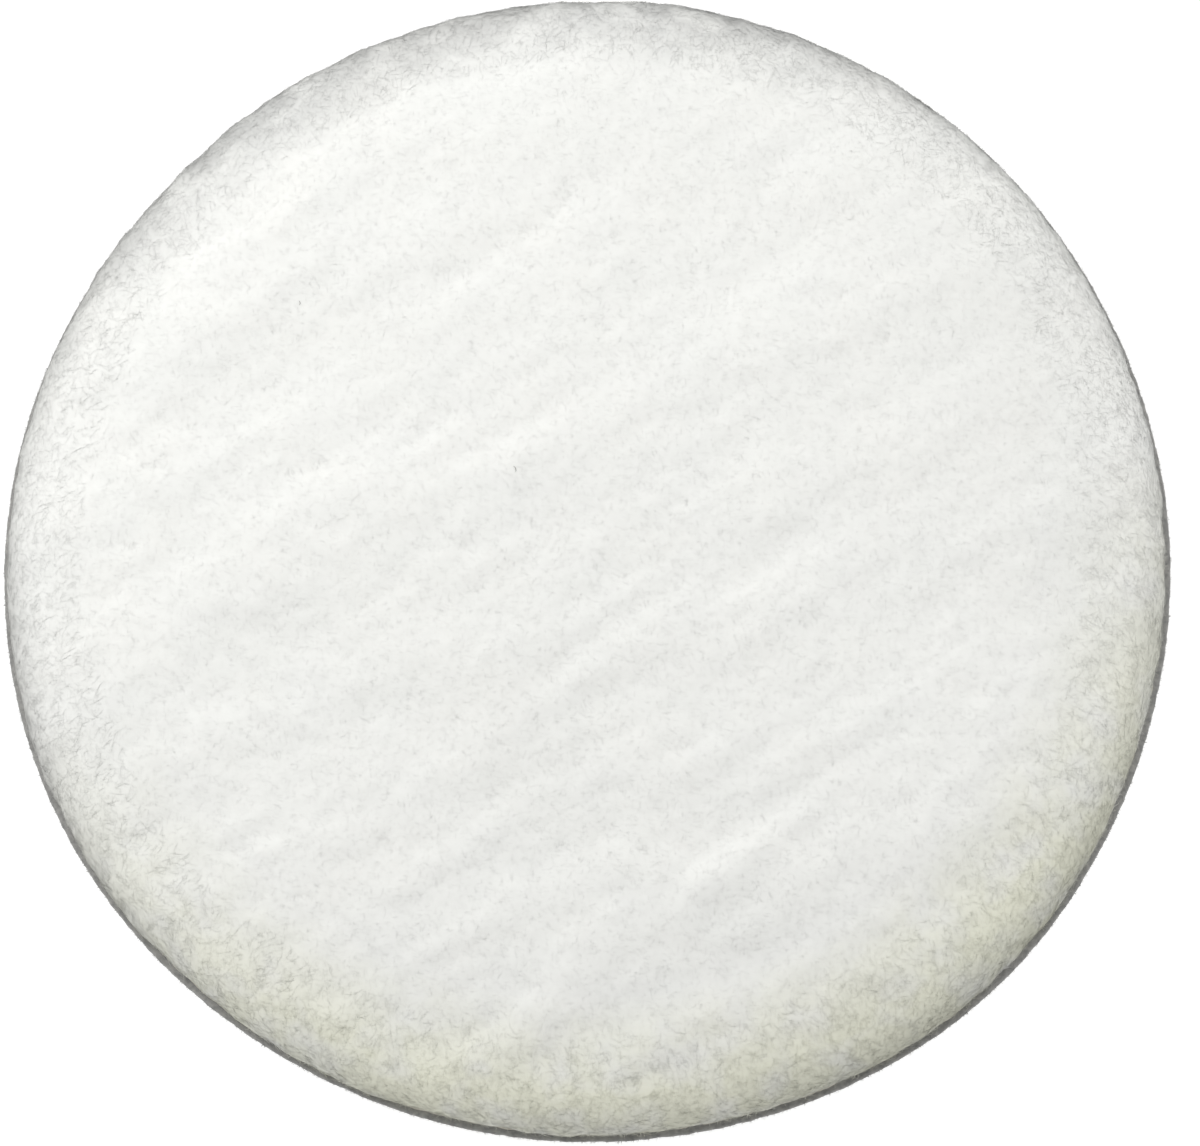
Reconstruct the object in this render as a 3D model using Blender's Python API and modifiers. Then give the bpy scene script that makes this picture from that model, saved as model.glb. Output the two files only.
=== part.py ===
"""Face-on felt polishing wheel: a soft white felt pad on a cloth back that grips a hook-faced backing pad.

The wheel lies on its back, with the working face up. Its spin axis is +Z and the origin is the
middle of the back face. From the back: loop cloth, glue film, woven scrim and the felt pad.
Metres throughout.
"""

import math

import bpy

# The wheel as a whole.
WHEEL_RADIUS = 0.075
TURN_STEPS = 128
LAYER_GAP = 0.0003

# Each layer's thickness.
BACKING_THICKNESS = 0.0010
FILM_THICKNESS = 0.0003
SCRIM_THICKNESS = 0.0005
FELT_THICKNESS = 0.0103

# The felt pulls in from the cut edge, and the cloth under it stays as cut.
FELT_INSET = 0.0008
FILM_INSET = 0.0004
CLOTH_EDGE_ROUNDING = 0.0003
SCRIM_EDGE_ROUNDING = 0.0001
FILM_EDGE_ROUNDING = 0.00005
CORNER_POINTS = 4

# The shoulder where the working face rolls down to the foot of the felt.
SHOULDER_WIDTH = 0.0200
SHOULDER_SQUARENESS = 2.05
SHOULDER_POINTS = 20

WHITE_FELT = (0.90, 0.90, 0.875)
NATURAL_COTTON = (0.78, 0.77, 0.72)
CLEAR_GLUE = (0.80, 0.79, 0.72)
GREY_LOOP = (0.36, 0.36, 0.35)


def clear_scene():
    for thing in list(bpy.data.objects):
        bpy.data.objects.remove(thing)


def make_collection(name):
    collection = bpy.data.collections.new(name)
    bpy.context.scene.collection.children.link(collection)
    return collection


def make_material(name, color, roughness, sheen=0.0):
    material = bpy.data.materials.new(name)
    material.use_nodes = True
    shader = material.node_tree.nodes["Principled BSDF"]
    shader.inputs["Base Color"].default_value = (*color, 1.0)
    shader.inputs["Roughness"].default_value = roughness
    shader.inputs["Metallic"].default_value = 0.0
    shader.inputs["Sheen Weight"].default_value = sheen
    return material


def corner(center_radius, center_z, rounding, start, end):
    """Points on a quarter circle in the profile plane, from one angle to another, in degrees."""
    points = []
    for step in range(CORNER_POINTS + 1):
        angle = math.radians(start + (end - start) * step / CORNER_POINTS)
        points.append((center_radius + rounding * math.cos(angle), center_z + rounding * math.sin(angle)))
    return points


def sheet_profile(radius, bottom, top, rounding):
    """Half the section of a flat round layer, from the middle of its top round the edge and back."""
    upper = corner(radius - rounding, top - rounding, rounding, 90, 0)
    lower = corner(radius - rounding, bottom + rounding, rounding, 0, -90)
    return [(0.0, top), *upper, *lower, (0.0, bottom)]


def felt_profile(radius, bottom, top):
    """Half the section of the felt: a flat face, a shoulder on a superellipse and a flat foot."""
    power = 2.0 / SHOULDER_SQUARENESS
    shoulder = []
    for step in range(SHOULDER_POINTS + 1):
        angle = math.radians(90 * (1 - step / SHOULDER_POINTS))
        outward = max(math.cos(angle), 0.0) ** power
        upward = max(math.sin(angle), 0.0) ** power
        shoulder.append((radius - SHOULDER_WIDTH * (1 - outward), bottom + (top - bottom) * upward))
    return [(0.0, top), *shoulder, (0.0, bottom)]


def turned(name, profile, material, collection):
    """A solid of revolution about Z, from a profile that runs down its outer side."""
    mesh = bpy.data.meshes.new(name)
    points = [(radius, 0.0, height) for radius, height in profile]
    mesh.from_pydata(points, [(i, i + 1) for i in range(len(points) - 1)], [])
    mesh.materials.append(material)
    solid = bpy.data.objects.new(name, mesh)
    collection.objects.link(solid)
    screw = solid.modifiers.new("turn", "SCREW")
    screw.axis = "Z"
    screw.angle = math.tau
    screw.steps = TURN_STEPS
    screw.render_steps = TURN_STEPS
    screw.use_merge_vertices = True
    screw.merge_threshold = 0.00001
    screw.use_smooth_shade = True
    return solid


def make_loop_backing(bottom, collection):
    """Grey brushed-loop cloth that the hooks of a backing pad grip. It is the full cut size."""
    top = bottom + BACKING_THICKNESS
    profile = sheet_profile(WHEEL_RADIUS, bottom, top, CLOTH_EDGE_ROUNDING)
    turned("loop_backing", profile, make_material("loop_cloth", GREY_LOOP, 0.95, 0.3), collection)
    return top


def make_glue_film(bottom, collection):
    """Hot-melt film that bonds the cloth back to the scrim."""
    top = bottom + FILM_THICKNESS
    profile = sheet_profile(WHEEL_RADIUS - FILM_INSET, bottom, top, FILM_EDGE_ROUNDING)
    turned("glue_film", profile, make_material("glue", CLEAR_GLUE, 0.35), collection)
    return top


def make_woven_scrim(bottom, collection):
    """Open-weave cotton that the felt is needled into, so that it can't stretch when it spins."""
    top = bottom + SCRIM_THICKNESS
    profile = sheet_profile(WHEEL_RADIUS - FELT_INSET, bottom, top, SCRIM_EDGE_ROUNDING)
    turned("woven_scrim", profile, make_material("cotton", NATURAL_COTTON, 0.9, 0.2), collection)
    return top


def make_felt_pad(bottom, collection):
    """White needled felt with a raised nap: the working face and its rounded shoulder."""
    top = bottom + FELT_THICKNESS
    profile = felt_profile(WHEEL_RADIUS - FELT_INSET, bottom, top)
    turned("felt_pad", profile, make_material("felt", WHITE_FELT, 1.0, 0.5), collection)
    return top


def main():
    clear_scene()
    wheel = make_collection("felt_polishing_wheel")
    level = 0.0
    for make_layer in (make_loop_backing, make_glue_film, make_woven_scrim, make_felt_pad):
        level = make_layer(level, wheel) + LAYER_GAP


main()
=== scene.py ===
"""The looks of the felt polishing wheel: napped white felt, its scrim, its glue and a grey loop-cloth back.

The felt's surface is worked out on a flat plan. A plan place's distance from the middle is the
distance walked over the felt: across the face, over the shoulder and down to the foot. The felt
body and every fibre on it read the same surface, so the fibres follow it everywhere.
"""

import math

import bpy
import numpy as np
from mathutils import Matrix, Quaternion, Vector


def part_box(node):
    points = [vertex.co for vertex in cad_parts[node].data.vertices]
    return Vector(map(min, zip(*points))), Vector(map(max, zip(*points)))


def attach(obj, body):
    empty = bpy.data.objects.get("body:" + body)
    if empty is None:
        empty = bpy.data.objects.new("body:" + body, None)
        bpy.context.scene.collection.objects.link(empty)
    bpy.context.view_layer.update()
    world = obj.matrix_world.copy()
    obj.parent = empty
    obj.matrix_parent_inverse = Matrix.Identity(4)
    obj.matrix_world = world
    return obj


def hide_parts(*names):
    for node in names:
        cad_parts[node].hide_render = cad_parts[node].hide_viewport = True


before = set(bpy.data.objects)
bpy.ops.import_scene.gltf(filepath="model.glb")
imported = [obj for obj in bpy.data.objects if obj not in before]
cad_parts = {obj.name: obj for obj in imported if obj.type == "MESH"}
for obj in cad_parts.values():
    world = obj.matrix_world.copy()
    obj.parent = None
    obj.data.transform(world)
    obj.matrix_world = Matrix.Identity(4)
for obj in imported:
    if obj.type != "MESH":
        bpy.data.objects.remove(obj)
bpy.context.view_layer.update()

MM = 0.001

# Places and sizes, from the CAD.
FELT_LOW, FELT_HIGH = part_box("felt_pad")
BACK_LOW, BACK_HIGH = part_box("loop_backing")
FILM_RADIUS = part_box("glue_film")[1].x
SCRIM_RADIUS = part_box("woven_scrim")[1].x
FOOT_BULGE = 0.2 * MM
FOOT_RADIUS = FELT_HIGH.x + FOOT_BULGE
FOOT_HEIGHT = FELT_LOW.z
FACE_HEIGHT = FELT_HIGH.z
WHEEL_RADIUS = BACK_HIGH.x
SHOULDER_WIDTH = 20 * MM
SHOULDER_SQUARENESS = 2.05

# The bonded layers touch, so each is shown a little lower than its CAD solid.
CLOTH_TOP = BACK_HIGH.z + 0.05 * MM
FILM_TOP = CLOTH_TOP + 0.3 * MM
SCRIM_MIDDLE = FILM_TOP + 0.15 * MM
FELT_UNDERSIDE = SCRIM_MIDDLE + 0.15 * MM
CLOTH_UNDERSIDE = CLOTH_TOP - 0.5 * MM

# The cut isn't quite round: it has three faint lobes, and one of them is full.
FULL_SIDE = math.radians(-56)
LOBE_SHARE = 0.0052
FULL_SHARE = 0.0040
FULL_SPREAD = math.radians(16)

# The way the nap was brushed, and the sides where painted shade tints the edge: a warm yellow tint, a grey
# shade and a darker patch.
BRUSHED = math.radians(17)
WARM_SHADE_SIDE = math.radians(-83)
FAR_SHADE_SIDE = math.radians(97)
DARK_SHADE_SIDE = math.radians(-24)


# ---------------------------------------------------------------- noise

def blurred_noise(seed, across, along=None, angle=0.0):
    """A smooth random field over the plan, with a spread of 1. Across and along are blur radii."""
    cells, span = 1024, 0.18
    along = across if along is None else along
    waves = np.fft.fftfreq(cells, span / cells)
    wave_x, wave_y = np.meshgrid(waves, waves)
    lengthwise = wave_x * math.cos(angle) + wave_y * math.sin(angle)
    crosswise = wave_y * math.cos(angle) - wave_x * math.sin(angle)
    keep = np.exp(-2 * math.pi ** 2 * ((along * lengthwise) ** 2 + (across * crosswise) ** 2))
    keep[0, 0] = 0
    white = np.random.default_rng(seed).standard_normal((cells, cells))
    field = np.fft.ifft2(np.fft.fft2(white) * keep).real
    field /= field.std()

    def at(u, v):
        column, row = (u / span + 0.5) * cells, (v / span + 0.5) * cells
        left, low = np.floor(column).astype(int), np.floor(row).astype(int)
        right_share, high_share = column - left, row - low
        left, low = left % cells, low % cells
        right, high = (left + 1) % cells, (low + 1) % cells
        below = field[low, left] * (1 - right_share) + field[low, right] * right_share
        above = field[high, left] * (1 - right_share) + field[high, right] * right_share
        return below * (1 - high_share) + above * high_share

    return at


# ---------------------------------------------------------------- the felt's surface

def felt_section():
    """The felt's outline, from the middle of the face to just below the foot.

    It gives the distance walked, the radius and the height at each point.
    """
    power = 2 / SHOULDER_SQUARENESS
    turn = np.linspace(math.pi / 2, 0, 400)
    shoulder_radius = FOOT_RADIUS - SHOULDER_WIDTH * (1 - np.cos(turn).clip(0) ** power)
    shoulder_height = FOOT_HEIGHT + (FACE_HEIGHT - FOOT_HEIGHT) * np.sin(turn).clip(0) ** power
    overhang_radius = FOOT_RADIUS + np.array([0.05, 0.15, 0.35]) * MM
    overhang_height = FOOT_HEIGHT - np.array([0.5, 1.0, 1.5]) * MM
    radius = np.concatenate([[0], shoulder_radius, overhang_radius])
    height = np.concatenate([[FACE_HEIGHT], shoulder_height, overhang_height])
    walked = np.concatenate([[0], np.hypot(np.diff(radius), np.diff(height)).cumsum()])
    return walked, radius, height


WALKED, SECTION_RADIUS, SECTION_HEIGHT = felt_section()
SHOULDER_WALK = FOOT_RADIUS - SHOULDER_WIDTH
FOOT_WALK = float(np.interp(-FOOT_HEIGHT, -SECTION_HEIGHT, WALKED))

tufts = blurred_noise(1, 0.33 * MM)
clumps = blurred_noise(2, 1.0 * MM)
fine_brush = blurred_noise(3, 1.4 * MM, 6 * MM, BRUSHED + math.radians(8))
broad_brush = blurred_noise(4, 3.2 * MM, 15 * MM, BRUSHED)
broad_waves = blurred_noise(5, 10 * MM)
brush_patches = blurred_noise(6, 14 * MM)


def fullness(angle):
    """How much wider than round the cut is in this direction, as a share of the radius."""
    away = (angle - FULL_SIDE + math.pi) % math.tau - math.pi
    lobes = LOBE_SHARE * np.cos(3 * away) + FULL_SHARE * np.exp(-((away / FULL_SPREAD) ** 2))
    return 1 + lobes + 0.0007 * np.sin(7 * angle + 2.0)


def relief(u, v):
    """How far the felt stands out from its plain section. The shoulder is calmer than the face.

    Each number is a pattern's strength in millimetres, and the last one settles the whole face.
    """
    brushed = 0.65 + 0.35 * np.tanh(brush_patches(u, v))
    calm = 1 - 0.75 * ((np.hypot(u, v) - SHOULDER_WALK) / (FOOT_WALK - SHOULDER_WALK)).clip(0, 1)
    return MM * (
        0.018 * tufts(u, v)
        + 0.080 * clumps(u, v)
        + calm * brushed * (0.170 * fine_brush(u, v) + 0.280 * broad_brush(u, v))
        + calm * 0.130 * broad_waves(u, v)
        - 0.250
    )


def outward(walk):
    """The section's outward direction at a distance walked, as its radial and upward parts."""
    before, after = walk - 0.2 * MM, walk + 0.2 * MM
    along_radius = np.interp(after, WALKED, SECTION_RADIUS) - np.interp(before, WALKED, SECTION_RADIUS)
    along_height = np.interp(after, WALKED, SECTION_HEIGHT) - np.interp(before, WALKED, SECTION_HEIGHT)
    size = np.maximum(np.hypot(along_radius, along_height), 1e-9)
    return -along_height / size, along_radius / size


def felt_surface(u, v, proud=0.0):
    """Points over the plan places u, v, standing proud of the felt by that much."""
    walk, angle = np.hypot(u, v), np.arctan2(v, u)
    out, up = outward(walk)
    stand = relief(u, v) + proud
    radius = (np.interp(walk, WALKED, SECTION_RADIUS) + stand * out) * fullness(angle)
    height = np.interp(walk, WALKED, SECTION_HEIGHT) + stand * up
    return np.stack([radius * np.cos(angle), radius * np.sin(angle), height], -1)


def felt_normals(u, v):
    """The felt's outward directions over the plan places u, v, with all but its finest relief."""
    reach = 0.4 * MM
    along_u = felt_surface(u + reach, v) - felt_surface(u - reach, v)
    along_v = felt_surface(u, v + reach) - felt_surface(u, v - reach)
    normals = np.cross(along_u, along_v)
    return normals / np.linalg.norm(normals, axis=-1, keepdims=True)


# ---------------------------------------------------------------- meshes

def make_piece(name, points, triangles, material, normals=None):
    """A smooth mesh riding on the root body. Normals, if given, are one for each point."""
    triangles = np.ascontiguousarray(triangles, np.int32)
    mesh = bpy.data.meshes.new(name)
    mesh.vertices.add(len(points))
    mesh.vertices.foreach_set("co", np.ascontiguousarray(points, np.float32).ravel())
    mesh.loops.add(triangles.size)
    mesh.loops.foreach_set("vertex_index", triangles.ravel())
    mesh.polygons.add(len(triangles))
    mesh.polygons.foreach_set("loop_start", np.arange(0, triangles.size, 3, dtype=np.int32))
    mesh.update(calc_edges=True)
    mesh.polygons.foreach_set("use_smooth", np.ones(len(triangles), bool))
    if normals is not None:
        held = mesh.attributes.new("custom_normal", "FLOAT_VECTOR", "POINT")
        held.data.foreach_set("vector", np.ascontiguousarray(normals, np.float32).ravel())
    mesh.materials.append(material)
    piece = bpy.data.objects.new(name, mesh)
    bpy.context.scene.collection.objects.link(piece)
    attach(piece, "root")
    return piece


def band(lower, upper):
    """Triangles between two closed rings of point indices, facing away from their middle."""
    lower_next, upper_next = np.roll(lower, -1), np.roll(upper, -1)
    return np.concatenate([
        np.stack([lower, lower_next, upper_next], -1),
        np.stack([lower, upper_next, upper], -1),
    ])


def closed_turning(rings, top, bottom):
    """A closed form from stacked rings, listed from the top down, and a middle point at each end."""
    count = len(rings[0])
    points = np.concatenate([*rings, [top], [bottom]])
    index = [np.arange(count) + count * step for step in range(len(rings))]
    top_index, bottom_index = len(points) - 2, len(points) - 1
    parts = [band(index[step + 1], index[step]) for step in range(len(rings) - 1)]
    parts.append(np.stack([index[0], np.roll(index[0], -1), np.full(count, top_index)], -1))
    parts.append(np.stack([np.roll(index[-1], -1), index[-1], np.full(count, bottom_index)], -1))
    return points, np.concatenate(parts)


def concentric_plan(cells, reach):
    """A square grid of places bent onto a round plan, with the grid's edge on its rim."""
    side = np.linspace(-1, 1, cells + 1)
    a, b = np.meshgrid(side, side)
    wide = np.abs(a) > np.abs(b)
    walk = reach * np.where(wide, a, b)
    share = np.where(wide, b / np.where(a == 0, 1, a), a / np.where(b == 0, 1, b))
    angle = np.where(wide, math.pi / 4 * share, math.pi / 2 - math.pi / 4 * share)
    return walk * np.cos(angle), walk * np.sin(angle)


def concentric_triangles(cells):
    """Two triangles for each cell of the bent grid, split along the line towards the middle."""
    row, column = np.divmod(np.arange(cells * cells), cells)
    a = row * (cells + 1) + column
    b, c, d = a + 1, a + cells + 2, a + cells + 1
    falling = ((2 * row + 1 - cells) * (2 * column + 1 - cells) < 0)[:, None]
    first = np.where(falling, np.stack([a, b, d], -1), np.stack([a, b, c], -1))
    second = np.where(falling, np.stack([b, c, d], -1), np.stack([a, c, d], -1))
    return np.concatenate([first, second])


def grid_rim(cells):
    """The indices round the edge of a square grid of points, anticlockwise."""
    wide = cells + 1
    step = np.arange(cells)
    return np.concatenate([step, step * wide + cells, cells * wide + cells - step, (cells - step) * wide])


def strands(paths, widths, sides=3):
    """Closed tapering strands. Paths is strands by stations by 3, and the last station is the tip."""
    number, stations, _ = paths.shape
    along = paths[:, -1] - paths[:, 0]
    along /= np.linalg.norm(along, axis=1, keepdims=True) + 1e-12
    side = np.cross(along, [0.31, 0.17, 0.93])
    side /= np.linalg.norm(side, axis=1, keepdims=True)
    other = np.cross(along, side)
    rings = []
    for station in range(stations - 1):
        for corner in range(sides):
            turn = math.tau * corner / sides
            out = side * math.cos(turn) + other * math.sin(turn)
            rings.append(paths[:, station] + out * widths[:, station, None] / 2)
    points = np.stack([*rings, paths[:, -1]], 1)
    local = []
    for station in range(stations - 2):
        for corner in range(sides):
            a, b = station * sides + corner, station * sides + (corner + 1) % sides
            local += [(a, b, b + sides), (a, b + sides, a + sides)]
    last, tip = (stations - 2) * sides, (stations - 1) * sides
    local += [(last + corner, last + (corner + 1) % sides, tip) for corner in range(sides)]
    local += [(0, corner + 1, corner) for corner in range(1, sides - 1)]
    faces = np.arange(number)[:, None, None] * points.shape[1] + np.array(local)
    return points.reshape(-1, 3), faces.reshape(-1, 3)


# ---------------------------------------------------------------- material nodes

def grey(level):
    return level, level, level


def new_material(name, roughness, specular):
    material = bpy.data.materials.new(name)
    material.use_nodes = True
    shader = material.node_tree.nodes["Principled BSDF"]
    shader.inputs["Roughness"].default_value = roughness
    shader.inputs["Specular IOR Level"].default_value = specular
    return material, material.node_tree, shader


def object_place(tree):
    return tree.nodes.new("ShaderNodeTexCoord").outputs["Object"]


def brushed_place(tree):
    """The object's own place, drawn out four times along the way the nap was brushed."""
    drawn = tree.nodes.new("ShaderNodeMapping")
    drawn.vector_type = "TEXTURE"
    drawn.inputs["Rotation"].default_value = (0, 0, BRUSHED)
    drawn.inputs["Scale"].default_value = (4, 1, 1)
    tree.links.new(object_place(tree), drawn.inputs["Vector"])
    return drawn.outputs["Vector"]


def noise_node(tree, scale, detail=3.0, place=None):
    """Noise over the object's own metres, or another place, with scale in features for each metre."""
    noise = tree.nodes.new("ShaderNodeTexNoise")
    noise.inputs["Scale"].default_value = scale
    noise.inputs["Detail"].default_value = detail
    tree.links.new(object_place(tree) if place is None else place, noise.inputs["Vector"])
    return noise.outputs["Fac"]


def ramp_node(tree, share, stops):
    ramp = tree.nodes.new("ShaderNodeValToRGB")
    while len(ramp.color_ramp.elements) < len(stops):
        ramp.color_ramp.elements.new(0.5)
    for element, (position, color) in zip(ramp.color_ramp.elements, stops):
        element.position = position
        element.color = (*color, 1)
    tree.links.new(share, ramp.inputs["Fac"])
    return ramp.outputs["Color"]


def shades_node(tree, noise, dark, light, low=0.3, high=0.7):
    """A colour that goes from dark to light as the noise goes from low to high."""
    return ramp_node(tree, noise, [(low, dark), (high, light)])


def painted_shade_node(tree, share, color):
    """A factor that goes from white to a painted shade's colour as the share goes from 0 to 1."""
    return ramp_node(tree, share, [(0.0, grey(1.0)), (1.0, color)])


def multiply_node(tree, first, second):
    mix = tree.nodes.new("ShaderNodeMix")
    mix.data_type = "RGBA"
    mix.blend_type = "MULTIPLY"
    mix.inputs[0].default_value = 1
    tree.links.new(first, mix.inputs[6])
    tree.links.new(second, mix.inputs[7])
    return mix.outputs[2]


def radius_share(tree, inner, outer):
    """0 at the inner distance from the spin axis to 1 at the outer one."""
    flat = tree.nodes.new("ShaderNodeVectorMath")
    flat.operation = "MULTIPLY"
    flat.inputs[1].default_value = (1, 1, 0)
    length = tree.nodes.new("ShaderNodeVectorMath")
    length.operation = "LENGTH"
    tree.links.new(object_place(tree), flat.inputs[0])
    tree.links.new(flat.outputs["Vector"], length.inputs[0])
    return range_node(tree, length.outputs["Value"], inner, outer)


def product_node(tree, first, second):
    product = tree.nodes.new("ShaderNodeMath")
    product.operation = "MULTIPLY"
    product.use_clamp = True
    tree.links.new(first, product.inputs[0])
    tree.links.new(second, product.inputs[1])
    return product.outputs[0]


def range_node(tree, value, low, high):
    """0 below the low value, rising to 1 above the high one."""
    share = tree.nodes.new("ShaderNodeMapRange")
    share.inputs["From Min"].default_value = low
    share.inputs["From Max"].default_value = high
    tree.links.new(value, share.inputs["Value"])
    return share.outputs["Result"]


def edge_share(tree, side, near, far, inner, outer):
    """A patchy share that grows towards one side of the edge, from near to far and from inner to outer."""
    toward = tree.nodes.new("ShaderNodeVectorMath")
    toward.operation = "DOT_PRODUCT"
    toward.inputs[1].default_value = (math.cos(side), math.sin(side), 0)
    tree.links.new(object_place(tree), toward.inputs[0])
    sided = range_node(tree, toward.outputs["Value"], near, far)
    patchy = range_node(tree, noise_node(tree, 160, 2), 0.2, 0.55)
    return product_node(tree, product_node(tree, sided, patchy), radius_share(tree, inner, outer))


def bump_node(tree, shader, height, depth, strength):
    bump = tree.nodes.new("ShaderNodeBump")
    bump.inputs["Strength"].default_value = strength
    bump.inputs["Distance"].default_value = depth
    tree.links.new(height, bump.inputs["Height"])
    tree.links.new(bump.outputs["Normal"], shader.inputs["Normal"])


# ---------------------------------------------------------------- materials

def felt_material():
    """White wool felt: a fine mottle and faint patches, with painted shade in brushed streaks, towards the
    rim (with a little soiling) and on three sides of the edge.
    """
    material, tree, shader = new_material("white_felt", 1.0, 0.1)
    mottle = shades_node(tree, noise_node(tree, 900, 4), (0.956, 0.959, 0.928), (0.983, 0.986, 0.956))
    patches = shades_node(tree, noise_node(tree, 90, 3), (0.984, 0.987, 0.988), (1.0, 0.999, 0.996))
    # Painted shade: the colour darkens a little in streaks along the way the nap was brushed, standing in
    # for light caught by the brushed ridges.
    brushed = noise_node(tree, 80, 2, brushed_place(tree))
    painted_streak_shade = shades_node(tree, brushed, (0.94, 0.94, 0.938), grey(1.0))
    # Painted shade with a little soiling: the colour darkens towards the rim, standing in for the shade on
    # the felt's rounded edge.
    rim_shade_and_soil = ramp_node(tree, radius_share(tree, WHEEL_RADIUS - 8 * MM, WHEEL_RADIUS), [
        (0.3, grey(1.0)),
        (0.52, grey(0.955)),
        (0.65, grey(0.90)),
        (0.75, grey(0.84)),
        (0.87, grey(0.70)),
        (1.0, grey(0.55)),
    ])
    # Painted shade: a warm yellow tint on the shaded side of the shoulder.
    warm_shade_share = edge_share(tree, WARM_SHADE_SIDE, near=5 * MM, far=55 * MM, inner=58 * MM, outer=70 * MM)
    # Painted shade: a grey shade along the far side of the rim.
    far_shade_share = edge_share(tree, FAR_SHADE_SIDE, near=33 * MM, far=62 * MM, inner=62.5 * MM, outer=73.5 * MM)
    # Painted shade: a darker patch on the shaded side of the rim.
    dark_shade_share = edge_share(tree, DARK_SHADE_SIDE, near=66 * MM, far=73.5 * MM, inner=62 * MM, outer=71 * MM)
    painted_warm_shade = painted_shade_node(tree, warm_shade_share, (0.985, 0.985, 0.86))
    painted_far_shade = painted_shade_node(tree, far_shade_share, (0.64, 0.64, 0.645))
    painted_dark_shade = painted_shade_node(tree, dark_shade_share, (0.89, 0.89, 0.87))
    # All the edge colour here is painted shade, with a little soiling at the rim.
    edge_shade_and_soil = multiply_node(tree, multiply_node(tree, rim_shade_and_soil, painted_dark_shade), multiply_node(tree, painted_warm_shade, painted_far_shade))
    tone_and_streak_shade = multiply_node(tree, multiply_node(tree, mottle, patches), painted_streak_shade)
    color = multiply_node(tree, tone_and_streak_shade, edge_shade_and_soil)
    tree.links.new(color, shader.inputs["Base Color"])
    bump_node(tree, shader, noise_node(tree, 2600), 0.05 * MM, 0.2)
    return material


def loop_cloth_material():
    """Grey brushed nylon, a melange of lighter and darker yarn."""
    material, tree, shader = new_material("grey_loop_cloth", 0.85, 0.25)
    yarn = noise_node(tree, 1500)
    color = shades_node(tree, yarn, (0.27, 0.27, 0.265), (0.43, 0.425, 0.41))
    tree.links.new(color, shader.inputs["Base Color"])
    bump_node(tree, shader, yarn, 0.1 * MM, 0.8)
    return material


def scrim_material():
    """Natural cotton yarn with slubs."""
    material, tree, shader = new_material("natural_cotton", 0.95, 0.1)
    slubs = noise_node(tree, 1100)
    color = shades_node(tree, slubs, (0.66, 0.64, 0.58), (0.80, 0.785, 0.735))
    tree.links.new(color, shader.inputs["Base Color"])
    bump_node(tree, shader, slubs, 0.06 * MM, 0.7)
    return material


def glue_material():
    """A melted film, faintly amber and glossy in places."""
    material, tree, shader = new_material("melted_glue", 0.35, 0.5)
    pools = noise_node(tree, 400, 4)
    color = shades_node(tree, pools, (0.56, 0.53, 0.44), (0.70, 0.68, 0.60), low=0.35, high=0.65)
    gloss = shades_node(tree, pools, grey(0.25), grey(0.55))
    tree.links.new(color, shader.inputs["Base Color"])
    tree.links.new(gloss, shader.inputs["Roughness"])
    bump_node(tree, shader, pools, 0.08 * MM, 0.5)
    return material


def stray_material():
    """A dark hair or two caught in the nap."""
    material, tree, shader = new_material("stray_fibre", 0.7, 0.3)
    color = shades_node(tree, noise_node(tree, 3000), (0.30, 0.29, 0.27), (0.45, 0.44, 0.41))
    tree.links.new(color, shader.inputs["Base Color"])
    return material


# ---------------------------------------------------------------- felt pieces

def make_felt_body(material):
    """The felt as one closed soft form, drawn in underneath its foot."""
    cells = 300
    u, v = concentric_plan(cells, FOOT_WALK)
    points = felt_surface(u.ravel(), v.ravel())
    previous = grid_rim(cells)
    foot = points[previous]
    parts, triangles, total = [points], [concentric_triangles(cells)], len(points)
    # Each ring's share of the foot's outline, and its height above the underside in millimetres.
    for inward, rise in ((1.0, 0.25), (0.997, 0.08), (0.985, 0.0), (0.8, 0.0)):
        ring = foot * [inward, inward, 0] + [0, 0, FELT_UNDERSIDE + rise * MM]
        current = total + np.arange(len(ring))
        parts.append(ring)
        triangles.append(band(current, previous))
        previous, total = current, total + len(ring)
    parts.append([[0, 0, FELT_UNDERSIDE]])
    triangles.append(np.stack([np.roll(previous, -1), previous, np.full(len(previous), total)], -1))
    body = make_piece("felt_body", np.concatenate(parts), np.concatenate(triangles), material)
    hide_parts("felt_pad")


def tuft_of(u, v, pitch):
    """The middle of the tuft that each place belongs to, and that tuft's lean from -1 to 1."""
    cells = 256
    rng = np.random.default_rng(7)
    jitter = rng.uniform(-0.35, 0.35, (cells, cells, 2))
    leans = rng.uniform(-1, 1, (cells, cells))
    column, row = np.floor(u / pitch).astype(int), np.floor(v / pitch).astype(int)
    shift = jitter[row % cells, column % cells]
    middle_u = (column + 0.5 + shift[:, 0]) * pitch
    middle_v = (row + 0.5 + shift[:, 1]) * pitch
    return middle_u, middle_v, leans[row % cells, column % cells]


def scattered(rng, number, inner, outer):
    """Even random places on the plan between two distances from the middle."""
    walk = np.sqrt(rng.uniform(inner ** 2, outer ** 2, number))
    angle = rng.uniform(0, math.tau, number)
    return walk * np.cos(angle), walk * np.sin(angle)


def lay_fibres(u, v, direction, curl, length, rises, widths, gather=None):
    """Fibres over the felt. Rises are (share of the length, height above the felt) for each station."""
    stations = []
    for share, rise in rises:
        bend = direction + curl * share
        u_here = u + length * share * np.cos(bend)
        v_here = v + length * share * np.sin(bend)
        if gather is not None:
            u_here += gather[0] * share
            v_here += gather[1] * share
        stations.append(felt_surface(u_here, v_here, rise))
    points, faces = strands(np.stack(stations, 1), widths)
    normals = np.repeat(felt_normals(u, v), len(points) // len(u), axis=0)
    return points, faces, normals


def steepness(u, v):
    """0 on the flat face, rising to 1 at the foot."""
    return outward(np.hypot(u, v))[0].clip(0, 1)


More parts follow.
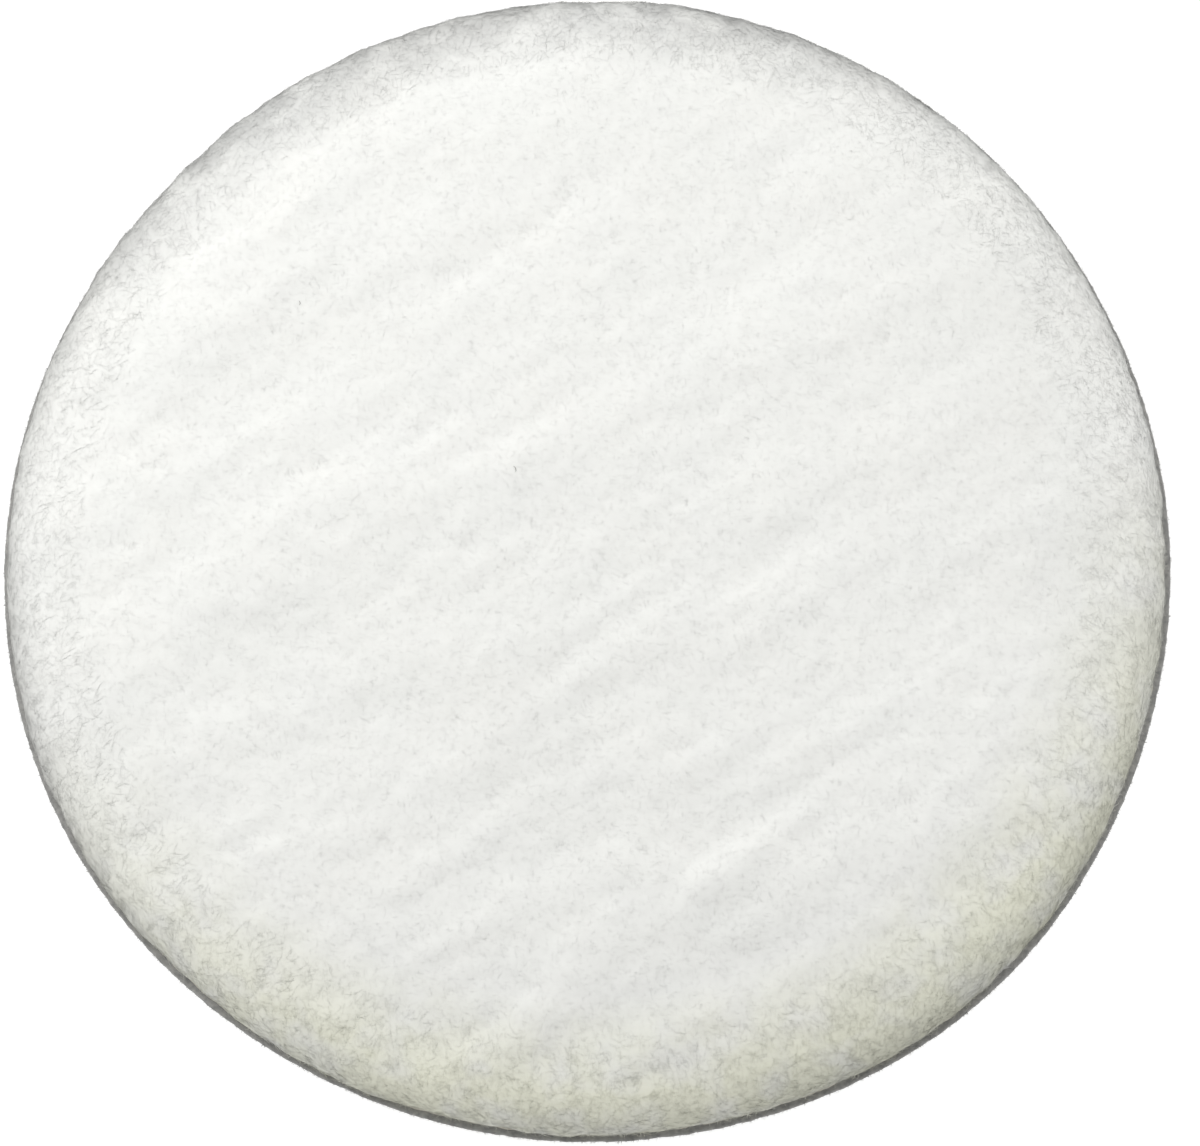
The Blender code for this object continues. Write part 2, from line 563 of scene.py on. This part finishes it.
def make_nap(material):
    """Short fibres felted into the surface in tufts, half sunk on the face and looser down the side."""
    pieces, number = 8, 18500
    for piece in range(pieces):
        rng = np.random.default_rng(100 + piece)
        u, v = scattered(rng, number, 0, FOOT_WALK + 0.4 * MM)
        tuft_u, tuft_v, lean = tuft_of(u, v, 1.15 * MM)
        loose = steepness(u, v)
        direction = BRUSHED + 2.2 * lean + rng.normal(0, 0.8, number)
        length = rng.uniform(1.2, 2.6, number) * MM
        rise = (rng.uniform(-0.025, 0.008, number) + 0.04 * loose * rng.uniform(0, 1, number)) * MM
        width = rng.uniform(0.042, 0.07, number) * MM
        points, faces, normals = lay_fibres(
            u, v, direction, rng.normal(0, 0.35, number), length,
            [(0, -0.06 * MM), (0.45, rise), (1, rise - 0.035 * MM)],
            width[:, None] * [1.0, 0.8],
            gather=((tuft_u - u) * 0.25, (tuft_v - v) * 0.25),
        )
        make_piece(f"nap_{piece + 1}", points, faces, material, normals)


def make_fuzz(material):
    """Fine loose ends that stand off the felt all over."""
    pieces, number = 2, 18500
    for piece in range(pieces):
        rng = np.random.default_rng(200 + piece)
        u, v = scattered(rng, number, 0, FOOT_WALK + 0.2 * MM)
        height = rng.uniform(0.03, 0.14, number) * (1 + steepness(u, v)) * MM
        points, faces, normals = lay_fibres(
            u, v, rng.uniform(0, math.tau, number), rng.normal(0, 0.9, number),
            rng.uniform(0.7, 1.6, number) * MM,
            [(0, -0.05 * MM), (0.5, height), (1, height * 0.9)],
            rng.uniform(0.02, 0.032, number)[:, None] * [MM, 0.8 * MM],
        )
        make_piece(f"fuzz_{piece + 1}", points, faces, material, normals)


def make_edge_wisps(material):
    """Longer wisps combed outwards over the shoulder and hanging over the cloth's edge."""
    number = 9000
    rng = np.random.default_rng(300)
    u, v = scattered(rng, number, FOOT_WALK - 16 * MM, FOOT_WALK - 1.2 * MM)
    outwards = np.arctan2(v, u)
    height = rng.uniform(0.02, 0.16, number) * MM
    points, faces, normals = lay_fibres(
        u, v, outwards + rng.normal(0, 0.55, number), rng.normal(0, 0.6, number),
        rng.uniform(1.2, 3.0, number) * MM,
        [(0, -0.05 * MM), (0.35, 0.6 * height), (0.7, height), (1, 0.8 * height)],
        rng.uniform(0.035, 0.055, number)[:, None] * [MM, 0.9 * MM, 0.7 * MM],
    )
    make_piece("edge_wisps", points, faces, material, normals)


def make_stray_fibres(material):
    """Two tiny dark fibres caught in the face."""
    u, v = np.array([-32.3, -7.7]) * MM, np.array([35.5, 10.4]) * MM
    points, faces, normals = lay_fibres(
        u, v, np.array([0.4, -0.5]), np.array([1.2, -1.0]), np.array([0.6, 0.9]) * MM,
        [(0, 0.03 * MM), (0.35, 0.07 * MM), (0.7, 0.08 * MM), (1, 0.05 * MM)],
        np.full((2, 3), 0.09 * MM),
    )
    make_piece("stray_fibres", points, faces, material, normals)


# ---------------------------------------------------------------- the layers under the felt

# How far the scrim and the glue stay inside their CAD discs, so that neither shows round the felt.
SCRIM_INSET = 1.0 * MM
GLUE_INSET = 0.5 * MM

YARN_PITCH = 2 * MM
YARN_WIDTH = 0.9 * MM
YARN_THICKNESS = 0.2 * MM
YARN_STEP = 1 * MM
YARN_SWAY = 0.1 * MM


def yarn_rings(half, offset, over, across):
    """The corners of one flat yarn, station by station, as it passes over and under the others."""
    place = np.linspace(-half, half, 2 * math.ceil(half / YARN_STEP) + 1)
    height = SCRIM_MIDDLE + over * YARN_SWAY * np.cos(math.pi * place / YARN_PITCH)
    corners = []
    for sideways, up in ((-1, -1), (1, -1), (1, 1), (-1, 1)):
        side = np.full_like(place, offset + sideways * YARN_WIDTH / 2)
        level = height + up * YARN_THICKNESS / 2
        corners.append(np.stack([side, place, level] if across else [place, -side, level], -1))
    return np.stack(corners, 1)


def yarn_triangles(index):
    """The triangles of one closed square yarn. Index is its stations by its four corners."""
    triangles = [index[:1, [0, 1, 2]], index[:1, [0, 2, 3]], index[-1:, [0, 2, 1]], index[-1:, [0, 3, 2]]]
    for corner in range(4):
        a, b = index[:-1, corner], index[:-1, (corner + 1) % 4]
        c, d = index[1:, (corner + 1) % 4], index[1:, corner]
        triangles += [np.stack([a, d, c], -1), np.stack([a, c, b], -1)]
    return np.concatenate(triangles)


def make_scrim(material):
    """A plain weave of flat cotton yarns, cut round under the felt."""
    reach = SCRIM_RADIUS - SCRIM_INSET
    rng = np.random.default_rng(400)
    outermost = math.floor(reach / YARN_PITCH)
    parts, triangles, total = [], [], 0
    for across in (False, True):
        for row in range(-outermost, outermost + 1):
            offset = row * YARN_PITCH
            half = math.sqrt(max(reach ** 2 - offset ** 2, 0)) + rng.uniform(-0.4, 0.2) * MM
            if half < 3 * YARN_PITCH:
                continue
            over = 1 if (row % 2 == 0) == across else -1
            rings = yarn_rings(half, offset, over, across)
            index = total + np.arange(rings.shape[0] * 4).reshape(-1, 4)
            triangles.append(yarn_triangles(index))
            parts.append(rings.reshape(-1, 3))
            total += index.size
    scrim = make_piece("scrim_weave", np.concatenate(parts), np.concatenate(triangles), material)
    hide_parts("woven_scrim")


def round_ring(count, radius, height, waver, seed):
    """A ring of points that follows the cut's outline, with a ragged edge of that size."""
    angle = np.arange(count) * math.tau / count
    ragged = np.random.default_rng(seed).normal(0, 1, count)
    ragged = (ragged + np.roll(ragged, 1) + np.roll(ragged, 2)) / 3
    reach = (radius + waver * ragged) * fullness(angle)
    return np.stack([reach * np.cos(angle), reach * np.sin(angle), np.full(count, height)], -1)


def make_glue(material):
    """The melted film, squeezed out raggedly round its edge."""
    count, reach = 900, FILM_RADIUS - GLUE_INSET
    low, high = CLOTH_TOP - 0.05 * MM, FILM_TOP
    # How far each ring is in from the edge, how high it is and how ragged. Insets and wavers are in mm.
    section = [
        (30, high, 0),
        (1, high, 0),
        (0.15, high, 0.08),
        (0, (low + high) / 2, 0.12),
        (0.15, low, 0.08),
        (30, low, 0),
    ]
    rings = []
    for inset, height, waver in section:
        rings.append(round_ring(count, reach - inset * MM, height, waver * MM, seed=500))
    points, triangles = closed_turning(rings, (0, 0, high), (0, 0, low))
    glue = make_piece("glue_melt", points, triangles, material)
    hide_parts("glue_film")


def make_cloth(material):
    """The knitted ground of the loop cloth, with its ribs showing along the cut edge."""
    count, rib = 1440, 0.9 * MM
    edge = WHEEL_RADIUS - 0.05 * MM
    thickness = CLOTH_TOP - CLOTH_UNDERSIDE
    # How many mm each ring is in from the edge, and its level from 0, the underside, to 1, the top.
    section = [
        (30, 1), (4, 1), (1.6, 1), (1.2, 1), (0.8, 1), (0.5, 1), (0.25, 1), (0.08, 0.85),
        (0, 0.5), (0.08, 0.15), (0.4, 0), (4, 0), (30, 0),
    ]
    rings = []
    for inset, level in section:
        ragged = 0.05 * MM if inset < 1 else 0
        ring = round_ring(count, edge - inset * MM, CLOTH_UNDERSIDE + thickness * level, ragged, seed=600)
        knit = np.sin(math.tau * ring[:, 0] / rib) * np.sin(math.tau * ring[:, 1] / rib)
        ring[:, 2] += 0.04 * MM * knit * (0.3 if inset > 3 else 1)
        rings.append(ring)
    points, triangles = closed_turning(rings, (0, 0, CLOTH_TOP), (0, 0, CLOTH_UNDERSIDE))
    cloth = make_piece("loop_cloth_ground", points, triangles, material)
    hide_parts("loop_backing")
    trims = [*make_loops(material), make_cut_ends(material)]


def make_loops(material):
    """Brushed loops under the cloth, each an arch of yarn down to the floor and back."""
    made = []
    for piece in range(2):
        rng = np.random.default_rng(700 + piece)
        number = 6700
        x, y = scattered(rng, number, 0, WHEEL_RADIUS - 0.35 * MM)
        lean = rng.uniform(0, math.tau, number)
        spread = rng.uniform(0.5, 1.1, number) * MM
        depth = rng.uniform(0.36, 0.52, number) * MM
        grow = fullness(np.arctan2(y, x))
        stations = []
        for share, sink in ((0, -0.1), (0.1, 0.55), (0.35, 0.97), (0.65, 0.97), (0.9, 0.55), (1, -0.1)):
            sway = 0.15 * MM * math.sin(math.pi * share)
            stations.append(np.stack([
                x * grow + spread * (share - 0.5) * np.cos(lean) + sway * np.sin(lean),
                y * grow + spread * (share - 0.5) * np.sin(lean) - sway * np.cos(lean),
                CLOTH_UNDERSIDE - depth * sink,
            ], -1))
        points, faces = strands(np.stack(stations, 1), np.full((number, 5), 0.09 * MM))
        made.append(make_piece(f"loop_pile_{piece + 1}", points, faces, material))
    return made


def make_cut_ends(material):
    """Frayed yarn ends along the cloth's cut edge."""
    rng = np.random.default_rng(800)
    number = 7000
    angle = rng.uniform(0, math.tau, number)
    heading = angle + rng.normal(0, 0.7, number)
    start = (WHEEL_RADIUS - rng.uniform(0.05, 0.5, number) * MM) * fullness(angle)
    length = rng.uniform(0.15, 0.45, number) * MM
    height = rng.uniform(CLOTH_UNDERSIDE, CLOTH_TOP, number)
    droop = rng.uniform(-0.45, 0.35, number) * MM
    stations = []
    for share in (0, 0.5, 1):
        level = (height + droop * share ** 1.5).clip(BACK_LOW.z + 0.05 * MM, CLOTH_TOP + 0.2 * MM)
        stations.append(np.stack([
            start * np.cos(angle) + length * share * np.cos(heading),
            start * np.sin(angle) + length * share * np.sin(heading),
            level,
        ], -1))
    width = rng.uniform(0.04, 0.07, number) * MM
    points, faces = strands(np.stack(stations, 1), width[:, None] * [1, 0.8])
    return make_piece("cut_ends", points, faces, material)


# ---------------------------------------------------------------- studio

def make_stage():
    """A pale floor and low walls, lit from inside so that they stay white."""
    half, wall = 3.0, 0.9
    corners = [(-half, -half), (half, -half), (half, half), (-half, half)]
    points = [(x, y, 0) for x, y in corners] + [(x, y, wall) for x, y in corners]
    faces = [(0, 1, 2, 3)] + [(k, k + 4, (k + 1) % 4 + 4, (k + 1) % 4) for k in range(4)]
    mesh = bpy.data.meshes.new("floor")
    mesh.from_pydata(points, [], faces)
    material, _, shader = new_material("light_box", 1.0, 0.0)
    shader.inputs["Base Color"].default_value = (*grey(0.28), 1)
    shader.inputs["Emission Color"].default_value = (1, 1, 0.99, 1)
    shader.inputs["Emission Strength"].default_value = 0.9
    mesh.materials.append(material)
    floor = bpy.data.objects.new("floor", mesh)
    bpy.context.scene.collection.objects.link(floor)


def make_lamp(name, azimuth, elevation, distance, power):
    """A soft round lamp that faces the middle of the wheel."""
    data = bpy.data.lights.new(name, "AREA")
    data.energy = power
    data.shape = "DISK"
    data.size = 0.22
    lamp = bpy.data.objects.new(name, data)
    flat = math.cos(elevation)
    toward = Vector((flat * math.cos(azimuth), flat * math.sin(azimuth), math.sin(elevation)))
    lamp.location = toward * distance
    lamp.rotation_mode = "QUATERNION"
    lamp.rotation_quaternion = toward.to_track_quat("Z", "Y")
    lamp.visible_camera = False
    bpy.context.scene.collection.objects.link(lamp)


def make_sky(color, strength):
    world = bpy.data.worlds.new("studio")
    world.use_nodes = True
    sky = world.node_tree.nodes["Background"]
    sky.inputs["Color"].default_value = (*color, 1)
    sky.inputs["Strength"].default_value = strength
    bpy.context.scene.world = world


def make_camera(elevation, roll, fill, slide, rise):
    """A long lens over the wheel. Fill is the share of the picture's width that the wheel takes.

    Slide and rise move the camera sideways and up in its own picture.
    """
    data = bpy.data.cameras.new("camera")
    data.lens = 135
    data.sensor_width = 36
    data.clip_start = 0.01
    distance = data.lens * 2 * WHEEL_RADIUS / (fill * data.sensor_width)
    toward = Vector((0, -math.cos(elevation), math.sin(elevation)))
    turn = toward.to_track_quat("Z", "Y") @ Quaternion((0, 0, 1), roll)
    camera = bpy.data.objects.new("camera", data)
    camera.rotation_mode = "QUATERNION"
    camera.rotation_quaternion = turn
    camera.location = turn @ Vector((slide, rise, 0)) + toward * distance
    bpy.context.scene.collection.objects.link(camera)
    bpy.context.scene.camera = camera


def main():
    make_camera(math.radians(77.5), roll=math.radians(-7.7), fill=0.971, slide=1.6 * MM, rise=-1.7 * MM)
    felt = felt_material()
    make_felt_body(felt)
    make_nap(felt)
    make_fuzz(felt)
    make_edge_wisps(felt)
    make_stray_fibres(stray_material())
    make_cloth(loop_cloth_material())
    make_glue(glue_material())
    make_scrim(scrim_material())
    make_stage()
    make_lamp("left_lamp", azimuth=math.radians(144), elevation=math.radians(56), distance=0.36, power=0.54)
    make_lamp("right_lamp", azimuth=math.radians(28), elevation=math.radians(52), distance=0.42, power=0.40)
    make_sky(grey(1.0), 0.39)
    bpy.context.scene.view_settings.view_transform = "Standard"


main()
